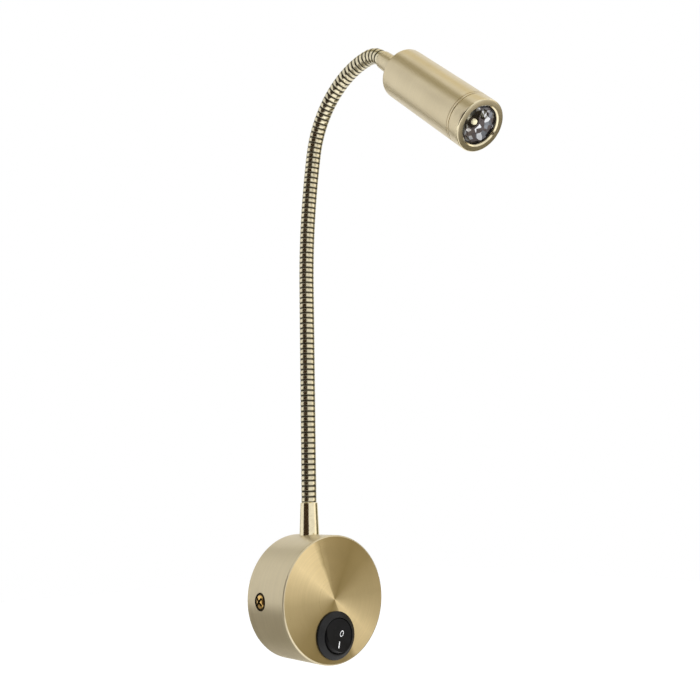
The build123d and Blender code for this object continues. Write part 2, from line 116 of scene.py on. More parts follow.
class LampBase(bpy.types.PropertyGroup):
    """The drum-shaped cup on the wall."""
    radius: length("Radius", "Outer radius of the cup", node_size("base_cover", 0) / 2)
    depth: length("Depth", "Front face, from the wall", -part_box("base_cover")[0][1])
    wall_gap: length("Wall gap", "From the wall to the cup's rim", -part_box("base_cover")[1][1])
    wall: length("Sheet", "Thickness of the cup's metal", 1.5 * MM)
    edge: length("Front edge", "Rounding of the front rim", 0.7 * MM)
    switch_drop: length("Switch drop", "Switch below the middle", -joint_at("switch_rock").z)
    switch_turn: angle("Switch turn", "How far round the switch sits", 30.0)
    switch_hole: length("Switch hole", "Radius of the hole for the switch", 10.1 * MM)
    screw_depth: length("Screw depth", "Side screws, from the wall", 11.2 * MM)
    spotface: length("Spotface", "Radius of the flat round a side screw", 4.4 * MM)
    spotface_depth: length("Spotface depth", "Below the cup's side", 0.9 * MM)


class LampNeck(bpy.types.PropertyGroup):
    """The ribbed hose and its centre line."""
    depth: length("Depth", "Where the neck leaves the base, from the wall", 10.5 * MM)
    collar_top: length("Collar top", "Where the hose starts, above the middle", 47.2 * MM)
    straight_run: length("Straight run", "Straight part above the collar", 113.7 * MM)
    gentle_radius: length("Gentle bend", "Radius of the first bend", 340.0 * MM)
    gentle_turn: angle("Gentle turn", "How far the first bend turns", 12.3)
    main_radius: length("Main bend", "Radius of the second bend", 46.9 * MM)
    main_turn: angle("Main turn", "How far the second bend turns", 79.0)
    tight_radius: length("Tight bend", "Radius of the last bend", 13.8 * MM)
    droop: angle("Head droop", "The head's axis below the horizontal", 42.4)
    end_run: length("End run", "Straight part before the head's collar", 3.0 * MM)
    rib_count: IntProperty(name="Ribs", description="Ribs in all", default=96, min=7)
    crest: length("Crest", "Radius over the ribs", 3.95 * MM)
    root: length("Root", "Radius between the ribs", 3.7 * MM)
    blend_run: length("Blend", "Half of the hose that gives way at a joint", 16.3 * MM)


class LampHead(bpy.types.PropertyGroup):
    """The cylindrical head on its collar."""
    radius: length("Radius", "Outer radius", 12.25 * MM)
    collar: length("Collar", "Length of the head's collar", 18.5 * MM)
    length: length("Length", "Rear face to front face", 65.0 * MM)
    rear_edge: length("Rear edge", "Rounding of the rear rim", 2.0 * MM)
    ring: length("Ring", "Length of the front ring", 7.6 * MM)
    ring_edge: length("Ring edge", "Rounding of the ring's front", 0.8 * MM)
    groove: length("Groove", "Width and depth of the groove behind the ring", 0.5 * MM)
    fine_line: length("Fine line", "Width and depth of the line behind the groove", 0.28 * MM)
    line_back: length("Line back", "From the groove back to the fine line", 1.1 * MM)
    opening: length("Opening", "Radius of the front opening", 9.0 * MM)
    lip: length("Lip", "Thickness of the front lip", 1.4 * MM)
    bevel: length("Inner bevel", "Bevel of the opening", 0.6 * MM)


class LampFinish(bpy.types.PropertyGroup):
    """Colours."""
    brass: colour("Brushed brass", "The cup's front face", (0.90, 0.73, 0.42))
    nickel: colour("Pale brass", "The head", (0.70, 0.605, 0.41))
    side: colour("Grey brass", "The cup's side and the collar on the head",
                 (0.66, 0.575, 0.395))
    polish: colour("Polished brass", "The collar on the base and the front ring's rims",
                   (0.80, 0.71, 0.49))
    hose: colour("Hose", "Crests of the ribs", (0.72, 0.65, 0.46))
    # the dark tone given to the hose's grooves
    groove: colour("Aged groove", "Dark tone between the ribs", (0.04, 0.034, 0.022))
    screw: colour("Screw", "Bright brass of the side screws", (0.78, 0.50, 0.16))
    # painted shade in and round the screws and on their seats
    recess: colour("Recess", "Dark tone in and round the screws", (0.05, 0.035, 0.016))
    plastic: colour("Switch", "Black plastic of the switch", (0.006, 0.006, 0.0065))
    print: colour("Marks", "White marks on the rocker", (0.86, 0.87, 0.88))
    # the lens's facets, three tones of painted reflection
    optic_dark: colour("Optic, dark", "Deepest facets of the lens", (0.085, 0.072, 0.07))
    optic_grey: colour("Optic, grey", "Grey facets of the lens", (0.21, 0.22, 0.24))
    optic_light: colour("Optic, light", "Brightest facets of the lens", (0.7, 0.71, 0.73))
    emitter: colour("Emitter", "The light-emitting chip", (0.98, 0.90, 0.62))


GROUPS = (LampView, LampBase, LampNeck, LampHead, LampFinish)


# ------------------------------------------------------------------ shader helpers

def new_material(name):
    """A new material, its node tree and its Principled shader."""
    material = bpy.data.materials.new(name)
    material.use_nodes = True
    tree = material.node_tree
    shader = tree.nodes["Principled BSDF"]
    return material, tree, shader


def add(tree, kind, inputs=None, **settings):
    """A node with its settings, its inputs set to values or linked to sockets."""
    node = tree.nodes.new(kind)
    for name, value in settings.items():
        setattr(node, name, value)
    set_inputs(tree, node, inputs or {})
    return node


def set_inputs(tree, node, inputs):
    """Sets a node's inputs to values or links them to sockets."""
    for name, value in inputs.items():
        if isinstance(value, bpy.types.NodeSocket):
            tree.links.new(value, node.inputs[name])
        else:
            node.inputs[name].default_value = value


def calc(tree, operation, *values):
    """The outcome of a sum on sockets or numbers."""
    return add(tree, "ShaderNodeMath", dict(enumerate(values)), operation=operation).outputs[0]


def ranged(tree, value, low, high, start=0.0, stop=1.0):
    """Runs from low to high while the value runs from start to stop."""
    node = add(tree, "ShaderNodeMapRange", {
        "Value": value, "From Min": start, "From Max": stop, "To Min": low, "To Max": high})
    return node.outputs[0]


def ramped(tree, value, stops):
    """The colour of a ramp of (place, colour) stops."""
    ramp = add(tree, "ShaderNodeValToRGB", {"Fac": value})
    points = ramp.color_ramp.elements
    while len(points) < len(stops):
        points.new(0.5)
    for point, (where, tone) in zip(points, stops):
        point.position = where
        point.color = tone
    return ramp.outputs["Color"]


def new_group(name, inputs, outputs):
    """A shader node group with named sockets: (tree, input node, output node)."""
    tree = bpy.data.node_groups.new(name, "ShaderNodeTree")
    kinds = {"value": "NodeSocketFloat", "colour": "NodeSocketColor", "vector": "NodeSocketVector"}
    for label, kind, default in inputs:
        socket = tree.interface.new_socket(label, in_out="INPUT", socket_type=kinds[kind])
        if default is not None:
            socket.default_value = default
    for label, kind in outputs:
        tree.interface.new_socket(label, in_out="OUTPUT", socket_type=kinds[kind])
    return tree, tree.nodes.new("NodeGroupInput"), tree.nodes.new("NodeGroupOutput")


def use_group(tree, group, inputs):
    """A node that places a shader group in a material's tree."""
    node = tree.nodes.new("ShaderNodeGroup")
    node.node_tree = group
    set_inputs(tree, node, inputs)
    return node


def rgba(value):
    """A colour with its alpha."""
    return (*value, 1.0)


def brushed_grain_group():
    """Fine parallel scratches. The vector's x runs along them, y across, in metres."""
    name = "brushed_grain"
    if name in bpy.data.node_groups:
        return bpy.data.node_groups[name]
    tree, source, result = new_group(
        name,
        (("Vector", "vector", None), ("Along", "value", 40.0), ("Across", "value", 9000.0),
         ("Amount", "value", 0.5)),
        (("Height", "value"), ("Tone", "value")))
    stretch = add(tree, "ShaderNodeCombineXYZ", {
        "X": source.outputs["Along"], "Y": source.outputs["Across"],
        "Z": source.outputs["Along"]})
    scaled = add(tree, "ShaderNodeVectorMath", {
        0: source.outputs["Vector"], 1: stretch.outputs[0]}, operation="MULTIPLY")
    fine = add(tree, "ShaderNodeTexNoise", {
        "Vector": scaled.outputs[0], "Scale": 1.0, "Detail": 3.0, "Roughness": 0.65})
    coarse = add(tree, "ShaderNodeTexNoise", {
        "Vector": scaled.outputs[0], "Scale": 0.17, "Detail": 2.0, "Roughness": 0.5})
    both = calc(tree, "ADD", fine.outputs["Fac"], coarse.outputs["Fac"])
    set_inputs(tree, result, {
        "Height": calc(tree, "MULTIPLY", both, source.outputs["Amount"]),
        "Tone": ranged(tree, both, 0.0, 1.0, start=0.7, stop=1.3)})
    return tree


def cloudy_age_group():
    """Soft clouds of lacquer and handling: a tone mask and a roughness mask."""
    name = "cloudy_age"
    if name in bpy.data.node_groups:
        return bpy.data.node_groups[name]
    tree, source, result = new_group(
        name,
        (("Vector", "vector", None), ("Size", "value", 90.0)),
        (("Tone", "value"), ("Wear", "value")))
    clouds = add(tree, "ShaderNodeTexNoise", {
        "Vector": source.outputs["Vector"], "Scale": source.outputs["Size"], "Detail": 3.0,
        "Roughness": 0.55})
    wear = add(tree, "ShaderNodeTexNoise", {
        "Vector": source.outputs["Vector"], "Scale": source.outputs["Size"], "Detail": 5.0,
        "Roughness": 0.7, "Distortion": 0.4})
    set_inputs(tree, result, {
        "Tone": ranged(tree, clouds.outputs["Fac"], 0.0, 1.0, start=0.35, stop=0.65),
        "Wear": ranged(tree, wear.outputs["Fac"], 0.0, 1.0, start=0.4, stop=0.7)})
    return tree


def mix_colours(tree, mask, first, second):
    """Between two colours by a mask from 0 to 1."""
    node = tree.nodes.new("ShaderNodeMix")
    node.data_type = "RGBA"
    tree.links.new(mask, node.inputs["Factor"])
    for socket, value in ((node.inputs[6], first), (node.inputs[7], second)):
        if isinstance(value, bpy.types.NodeSocket):
            tree.links.new(value, socket)
        else:
            socket.default_value = value
    return node.outputs[2]


def shade(value, factor):
    """A colour made darker or lighter, with its alpha."""
    return rgba([min(1.0, channel * factor) for channel in value])


def spun_fan_group():
    """The fan of light and shade that a spun face shows round the y axis: a tone mask."""
    name = "spun_fan"
    if name in bpy.data.node_groups:
        return bpy.data.node_groups[name]
    tree, source, result = new_group(
        name,
        (("Vector", "vector", None), ("Turn", "value", 0.0), ("Ragged", "value", 0.05)),
        (("Tone", "value"),))
    place = add(tree, "ShaderNodeSeparateXYZ", {"Vector": source.outputs["Vector"]})
    clock = calc(tree, "ARCTAN2", place.outputs["X"], place.outputs["Z"])
    noise = add(tree, "ShaderNodeTexNoise", {
        "Vector": source.outputs["Vector"], "Scale": 160.0, "Detail": 2.0})
    ragged = calc(tree, "MULTIPLY", noise.outputs["Fac"], source.outputs["Ragged"])
    turned = calc(tree, "ADD", calc(tree, "ADD", clock, source.outputs["Turn"]), ragged)
    half_turn_share = calc(tree, "FRACT", calc(tree, "DIVIDE", turned, pi))
    # twice round the face: dark from a sharp edge on, then slowly brighter up to the next
    levels = ((0.0, 0.3), (0.04, 0.16), (0.12, 0.1), (0.24, 0.02), (0.36, 0.07), (0.58, 0.36),
              (0.72, 0.7), (0.82, 1.0), (0.96, 0.8), (1.0, 0.2))
    stops = [(where, rgba([level] * 3)) for where, level in levels]
    set_inputs(tree, result, {"Tone": ramped(tree, half_turn_share, stops)})
    return tree


def brushed_metal(name, base, roughness, contrast=0.05, bump=0.12, anisotropy=0.4, fan=False):
    """Brushed metal whose grain follows the piece's own turned surface (its UV map).

    contrast is how far the scratches are darker and lighter than the base colour."""
    material, tree, shader = new_material(name)
    uv = add(tree, "ShaderNodeUVMap", uv_map="turned")
    place = add(tree, "ShaderNodeTexCoord")
    grain = use_group(tree, brushed_grain_group(), {
        "Vector": uv.outputs["UV"], "Along": 30.0, "Across": 7000.0, "Amount": 1.0})
    age = use_group(tree, cloudy_age_group(), {"Vector": place.outputs["Object"], "Size": 70.0})
    tone = mix_colours(tree, grain.outputs["Tone"], shade(base, 1 - contrast),
                       shade(base, 1 + contrast))
    aged_tone_and_painted_fan = mix_colours(tree, ranged(tree, age.outputs["Tone"], 0.0, 0.2), tone,
                       shade(base, 0.86))
    # painted highlight and shade: the fan of light that a spun face shows is mixed into the colour
    if fan:
        wedge = use_group(tree, spun_fan_group(), {
            "Vector": place.outputs["Object"], "Turn": radians(15), "Ragged": 0.12})
        painted_fan_shade = [channel * factor for channel, factor in zip(base, (0.24, 0.22, 0.155))]
        aged_tone_and_painted_fan = mix_colours(tree, ranged(tree, wedge.outputs["Tone"], 1.0, 0.0), aged_tone_and_painted_fan,
                           rgba(painted_fan_shade))
    rough = calc(tree, "ADD",
                 ranged(tree, grain.outputs["Tone"], roughness - 0.03, roughness + 0.03),
                 ranged(tree, age.outputs["Wear"], 0.0, 0.05))
    scratches = add(tree, "ShaderNodeBump", {
        "Height": grain.outputs["Height"], "Strength": bump, "Distance": 0.00002})
    tangent = add(tree, "ShaderNodeTangent", direction_type="UV_MAP", uv_map="turned")
    set_inputs(tree, shader, {
        "Base Color": aged_tone_and_painted_fan, "Metallic": 1.0, "Roughness": rough,
        "Anisotropic": anisotropy, "Anisotropic Rotation": 0.25,
        "Normal": scratches.outputs[0], "Tangent": tangent.outputs[0]})
    return material


def polished_metal(name, base, roughness):
    """Polished metal with faint specks and handling marks."""
    material, tree, shader = new_material(name)
    place = add(tree, "ShaderNodeTexCoord")
    age = use_group(tree, cloudy_age_group(), {"Vector": place.outputs["Object"], "Size": 400.0})
    specks = add(tree, "ShaderNodeTexNoise", {
        "Vector": place.outputs["Object"], "Scale": 2500.0, "Detail": 2.0})
    tone = mix_colours(tree, age.outputs["Tone"], shade(base, 0.93), shade(base, 1.06))
    rough = ranged(tree, age.outputs["Wear"], roughness, roughness + 0.03)
    bump = add(tree, "ShaderNodeBump", {
        "Height": specks.outputs["Fac"], "Strength": 0.01, "Distance": 0.00001})
    set_inputs(tree, shader, {"Base Color": tone, "Metallic": 1.0, "Roughness": rough,
                              "Normal": bump.outputs[0]})
    return material


def faceted_optic(name, dark, grey, light):
    """A moulded lens over a mirror: cells of dark, grey and near white, painted reflections."""
    material, tree, shader = new_material(name)
    place = add(tree, "ShaderNodeTexCoord")
    cells = add(tree, "ShaderNodeTexVoronoi", {
        "Vector": place.outputs["Object"], "Scale": 520.0, "Randomness": 1.0},
        feature="F1")
    draw = add(tree, "ShaderNodeSeparateColor", {"Color": cells.outputs["Color"]})
    tone = ramped(tree, draw.outputs["Red"], (
        (0.0, rgba(dark)), (0.46, rgba(dark)), (0.54, rgba(grey)), (0.74, shade(grey, 0.4)),
        (0.9, rgba(light))))
    ripple = add(tree, "ShaderNodeTexNoise", {
        "Vector": place.outputs["Object"], "Scale": 900.0, "Detail": 2.0})
    bump = add(tree, "ShaderNodeBump", {
        "Height": ripple.outputs["Fac"], "Strength": 0.25, "Distance": 0.0001})
    rough = ranged(tree, draw.outputs["Green"], 0.04, 0.16)
    set_inputs(tree, shader, {"Base Color": tone, "Metallic": 0.9,
                              "Roughness": rough, "Normal": bump.outputs[0]})
    return material


def phosphor(name, base):
    """The emitter's pale resin with a faint painted glow, a little brighter than what lights it.
    """
    material, tree, shader = new_material(name)
    place = add(tree, "ShaderNodeTexCoord")
    age = use_group(tree, cloudy_age_group(), {"Vector": place.outputs["Object"],
                                               "Size": 900.0})
    tone = mix_colours(tree, age.outputs["Tone"], shade(base, 0.9), shade(base, 1.05))
    rough = ranged(tree, age.outputs["Wear"], 0.15, 0.3)
    # painted glow: a faint emission in the resin's own tone
    set_inputs(tree, shader, {"Base Color": tone, "Roughness": rough,
                              "Emission Color": tone, "Emission Strength": 0.2})
    return material


def moulded_plastic(name, base, roughness, grain=0.25, gloss=0.3):
    """Moulded plastic with a fine spark-eroded grain."""
    material, tree, shader = new_material(name)
    place = add(tree, "ShaderNodeTexCoord")
    age = use_group(tree, cloudy_age_group(), {"Vector": place.outputs["Object"], "Size": 250.0})
    pits = add(tree, "ShaderNodeTexNoise", {
        "Vector": place.outputs["Object"], "Scale": 3500.0, "Detail": 2.0, "Roughness": 0.6})
    tone = mix_colours(tree, age.outputs["Tone"], shade(base, 0.8), shade(base, 1.25))
    rough = ranged(tree, age.outputs["Wear"], roughness, min(1.0, roughness + 0.1))
    bump = add(tree, "ShaderNodeBump", {
        "Height": pits.outputs["Fac"], "Strength": grain, "Distance": 0.00003})
    set_inputs(tree, shader, {"Base Color": tone, "Roughness": rough,
                              "Specular IOR Level": gloss, "Normal": bump.outputs[0]})
    return material


def rib_metal(name, crest, groove):
    """The hose: bright on its crests, dark in its grooves, by the rib attribute."""
    material, tree, shader = new_material(name)
    place = add(tree, "ShaderNodeTexCoord")
    rib = add(tree, "ShaderNodeAttribute", attribute_name="rib_height")
    age = use_group(tree, cloudy_age_group(), {"Vector": place.outputs["Object"], "Size": 600.0})
    crest_tone = mix_colours(tree, age.outputs["Tone"], shade(crest, 0.82), shade(crest, 1.1))
    mask = ranged(tree, rib.outputs["Fac"], 0.0, 1.0, start=0.45, stop=0.9)
    tone = mix_colours(tree, mask, rgba(groove), crest_tone)
    rough = ranged(tree, mask, 0.45, 0.2)
    set_inputs(tree, shader, {"Base Color": tone, "Metallic": 1.0, "Roughness": rough})
    return material


MATERIALS = {}


def material(name):
    """The lamp's materials by name, each built on first use."""
    if name not in MATERIALS:
        finish = bpy.context.scene.lamp_finish
        makers = {
            # the cup's front, with a painted fan of highlight and shade
            "brushed_front": lambda: brushed_metal(
                name, finish.brass, 0.30, contrast=0.06, anisotropy=0.75, fan=True),
            "brushed_side": lambda: brushed_metal(name, finish.side, 0.40),
            "brushed_head": lambda: brushed_metal(
                name, finish.nickel, 0.34, contrast=0.04, bump=0.1),
            # painted shade: the head's brass darkened for the ring's front face
            "ring_face": lambda: brushed_metal(
                name, shade(finish.nickel, 0.68)[:3], 0.30, bump=0.1),
            "polished_rim": lambda: polished_metal(name, finish.polish, 0.12),
            "polished_brass": lambda: polished_metal(name, finish.polish, 0.15),
            "satin_brass": lambda: polished_metal(name, finish.side, 0.36),
            "rib_metal": lambda: rib_metal(name, finish.hose, finish.groove),
            "screw_brass": lambda: polished_metal(name, finish.screw, 0.18),
            # painted shade for the screws' recesses and rims and their seats
            "aged_recess": lambda: polished_metal(name, finish.recess, 0.4),
            "faceted_optic": lambda: faceted_optic(
                name, finish.optic_dark, finish.optic_grey, finish.optic_light),
            # painted shade in the lens's middle pocket
            "dark_pocket": lambda: polished_metal(name, finish.optic_dark, 0.15),
            "emitter_resin": lambda: phosphor(name, finish.emitter),
            "switch_plastic": lambda: moulded_plastic(name, finish.plastic, 0.42),
            "rocker_plastic": lambda: moulded_plastic(name, finish.plastic, 0.36, gloss=0.12),
            "mark_print": lambda: moulded_plastic(name, finish.print, 0.5, grain=0.1),
            "zinc_steel": lambda: polished_metal(name, (0.60, 0.61, 0.63), 0.30),
            "tinned_brass": lambda: polished_metal(name, (0.66, 0.62, 0.52), 0.25),
            "turned_aluminium": lambda: polished_metal(name, (0.70, 0.70, 0.72), 0.28),
            "pale_plastic": lambda: moulded_plastic(name, (0.80, 0.80, 0.77), 0.4),
            "wire_plastic": lambda: moulded_plastic(name, (0.05, 0.05, 0.055), 0.45, grain=0.1),
            "board_lacquer": lambda: moulded_plastic(name, (0.82, 0.82, 0.80), 0.35, grain=0.1),
            "seal_rubber": lambda: moulded_plastic(name, (0.03, 0.03, 0.03), 0.6, grain=0.1),
        }
        MATERIALS[name] = makers[name]()
    return MATERIALS[name]


# ------------------------------------------------------------------ mesh helpers

def arc(centre, radius, start, end, steps=5):
    """Points of a rounded corner in a turned outline, angles in degrees."""
    points = []
    for i in range(steps + 1):
        turn = radians(start + (end - start) * i / steps)
        points.append((centre[0] + radius * cos(turn), centre[1] + radius * sin(turn)))
    return points


def turned_mesh(name, outline, axes, sides=128, step=None):
    """A closed shape turned from (radius, height) points, with its UV map in metres.

    The outline runs round the solid with its metal on the left. axes places the turned
    shape: its z axis is the axis of turning."""
    if step:
        outline = with_steps(outline, step)
    mesh = bpy.data.meshes.new(name)
    shape = bmesh.new()
    uv_layer = shape.loops.layers.uv.new("turned")
    rows = []
    for radius, height in outline:
        if radius < ON_AXIS:
            rows.append([shape.verts.new((0, 0, height))] * sides)
        else:
            rows.append([shape.verts.new((radius * cos(2 * pi * i / sides),
                                          radius * sin(2 * pi * i / sides), height))
                         for i in range(sides)])
    run = [0.0]
    for a, b in zip(outline, outline[1:] + outline[:1]):
        run.append(run[-1] + hypot(b[0] - a[0], b[1] - a[1]))
    for j in range(len(outline)):
        k = (j + 1) % len(outline)
        if outline[j][0] < ON_AXIS and outline[k][0] < ON_AXIS:
            continue
        round_length = 2 * pi * max(outline[j][0], outline[k][0])
        for i in range(sides):
            n = (i + 1) % sides
            corners = [(rows[j][i], i, run[j]), (rows[j][n], i + 1, run[j]),
                       (rows[k][n], i + 1, run[j + 1]), (rows[k][i], i, run[j + 1])]
            kept = []
            for corner in corners:
                if corner[0] not in [c[0] for c in kept]:
                    kept.append(corner)
            face = shape.faces.new([c[0] for c in kept])
            for loop, corner in zip(face.loops, kept):
                loop[uv_layer].uv = (corner[1] / sides * round_length, corner[2])
    bmesh.ops.recalc_face_normals(shape, faces=shape.faces)
    shape.transform(axes)
    shape.to_mesh(mesh)
    shape.free()
    piece = bpy.data.objects.new(name, mesh)
    bpy.context.collection.objects.link(piece)
    return piece


def with_steps(outline, step):
    """The outline with points added so that no run is longer than step."""
    points = []
    for a, b in zip(outline, outline[1:] + outline[:1]):
        points.append(a)
        if a[0] < ON_AXIS and b[0] < ON_AXIS:
            continue
        count = int(hypot(b[0] - a[0], b[1] - a[1]) / step)
        for i in range(1, count + 1):
            t = i / (count + 1)
            points.append((a[0] + (b[0] - a[0]) * t, a[1] + (b[1] - a[1]) * t))
    return points


def soften(piece, limit=32.0):
    """Smooth shading with sharp edges where faces meet at more than limit degrees."""
    shape = bmesh.new()
    shape.from_mesh(piece.data)
    for face in shape.faces:
        face.smooth = True
    for edge in shape.edges:
        sharp = len(edge.link_faces) != 2 or edge.calc_face_angle(0.0) > radians(limit)
        edge.smooth = not sharp
    shape.to_mesh(piece.data)
    shape.free()


def cut(piece, cutters):
    """Cuts closed shapes out of a piece and deletes them."""
    for cutter in cutters:
        tool = piece.modifiers.new("cut", "BOOLEAN")
        tool.object = cutter
        tool.operation = "DIFFERENCE"
        tool.solver = "EXACT"
    bake_modifiers(piece)
    for cutter in cutters:
        bpy.data.objects.remove(cutter)


def bake_modifiers(piece):
    """Turns a piece with modifiers into a plain mesh."""
    graph = bpy.context.evaluated_depsgraph_get()
    plain = bpy.data.meshes.new_from_object(piece.evaluated_get(graph))
    piece.modifiers.clear()
    piece.data = plain
    plain.name = piece.name


def dress(piece, look, body, slot, *nodes):
    """Gives a piece its material and its body, and hides the CAD nodes that it stands for."""
    piece.data.materials.clear()
    piece.data.materials.append(material(look))
    soften(piece)
    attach(piece, body)
    if nodes:
        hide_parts(*nodes)
    return piece


def smooth_copy(node, name):
    """A copy of a CAD node with its loose triangles joined, ready for smooth shading."""
    piece = frame["nodes"][node].copy()
    piece.name = name
    piece.data = frame["nodes"][node].data.copy()
    piece.parent = None
    piece.matrix_world = Matrix()
    for collection in frame["nodes"][node].users_collection:
        collection.objects.link(piece)
    shape = bmesh.new()
    shape.from_mesh(piece.data)
    bmesh.ops.remove_doubles(shape, verts=shape.verts, dist=1e-6)
    shape.to_mesh(piece.data)
    shape.free()
    return piece


def wall_axes():
    """Turning axis straight out of the wall through the base's middle."""
    return Matrix(((1, 0, 0, 0), (0, 0, -1, 0), (0, 1, 0, 0), (0, 0, 0, 1)))


def axes_along(point, direction):
    """Turning axis from a point along a direction, x kept level."""
    z = Vector(direction).normalized()
    x = Vector((1, 0, 0))
    y = z.cross(x)
    return Matrix(((x.x, y.x, z.x, point[0]), (x.y, y.y, z.y, point[1]),
                   (x.z, y.z, z.z, point[2]), (0, 0, 0, 1)))


def plain_rod(name, axes, radius, start, end):
    """A round rod between two heights on an axis."""
    outline = [(0, start), (radius, start), (radius, end), (0, end)]
    return turned_mesh(name, outline, axes, sides=96)


# ------------------------------------------------------------------ the neck's centre line

def neck_runs():
    """(length, turn) of each run of the centre line from the base up, in metres."""
    neck = bpy.context.scene.lamp_neck
    tight_turn = radians(90) + neck.droop - neck.gentle_turn - neck.main_turn
    return (
        (neck.straight_run, 0.0),
        (neck.gentle_radius * neck.gentle_turn, neck.gentle_turn),
        (neck.main_radius * neck.main_turn, neck.main_turn),
        (neck.tight_radius * tight_turn, tight_turn),
        (neck.end_run, 0.0),
    )


def neck_length():
    """Length of the hose along its centre line, in metres."""
    return sum(run for run, turn in neck_runs())


def neck_point(s):
    """(point, direction) on the centre line at distance s above the lower collar."""
    neck = bpy.context.scene.lamp_neck
    y, z, lean = -neck.depth, neck.collar_top, 0.0
    left = s
    runs = neck_runs()
    for index, (run, turn) in enumerate(runs):
        step = left if index == len(runs) - 1 else min(left, run)
        if turn:
            radius = run / turn
            y += radius * (cos(lean + step / radius) - cos(lean))
            z += radius * (sin(lean + step / radius) - sin(lean))
            lean += step / radius
        else:
            y -= step * sin(lean)
            z += step * cos(lean)
        left -= step
        if left <= 0:
            break
    return Vector((0, y, z)), Vector((0, -sin(lean), cos(lean)))


def head_axes(offset=0.0):
    """Turning axis of the head, its zero at the given distance past the hose's end."""
    point, direction = neck_point(neck_length())
    return axes_along(point + direction * offset, direction)


# ------------------------------------------------------------------ stage

def soft_lamp(name, place, aim, size, power):
    """A rectangular studio lamp that faces a point and isn't mirrored in the metal."""
    data = bpy.data.lights.new(name, "AREA")
    data.shape = "RECTANGLE"
    data.size, data.size_y = size
    data.energy = power
    lamp = bpy.data.objects.new(name, data)
    lamp.location = place
    lamp.rotation_euler = (Vector(aim) - Vector(place)).to_track_quat("-Z", "Y").to_euler()
    lamp.visible_glossy = False
    bpy.context.collection.objects.link(lamp)


def mirrored_card(name, place, aim, along, size, tint):
    """A studio card that only shows as a soft band in polished metal.

    It faces aim, and its long side lies along the given direction."""
    facing = (Vector(aim) - Vector(place)).normalized()
    long_way = (Vector(along) - facing * facing.dot(Vector(along))).normalized()
    short_way = long_way.cross(facing)
    middle = Vector(place)
    x, y = short_way * size[0] / 2, long_way * size[1] / 2
    mesh = bpy.data.meshes.new(name)
    mesh.from_pydata([middle - x - y, middle + x - y, middle + x + y, middle - x + y], [],
                     [(0, 1, 2, 3)])
    card = bpy.data.objects.new(name, mesh)
    bpy.context.collection.objects.link(card)
    look, tree, shader = new_material(name)
    set_inputs(tree, shader, {"Base Color": (0, 0, 0, 1), "Specular IOR Level": 0.0,
                              "Emission Color": rgba(tint), "Emission Strength": 1.0})
    mesh.materials.append(look)
    card.visible_camera = False
    card.visible_diffuse = False
    card.visible_shadow = False
    card.visible_transmission = False


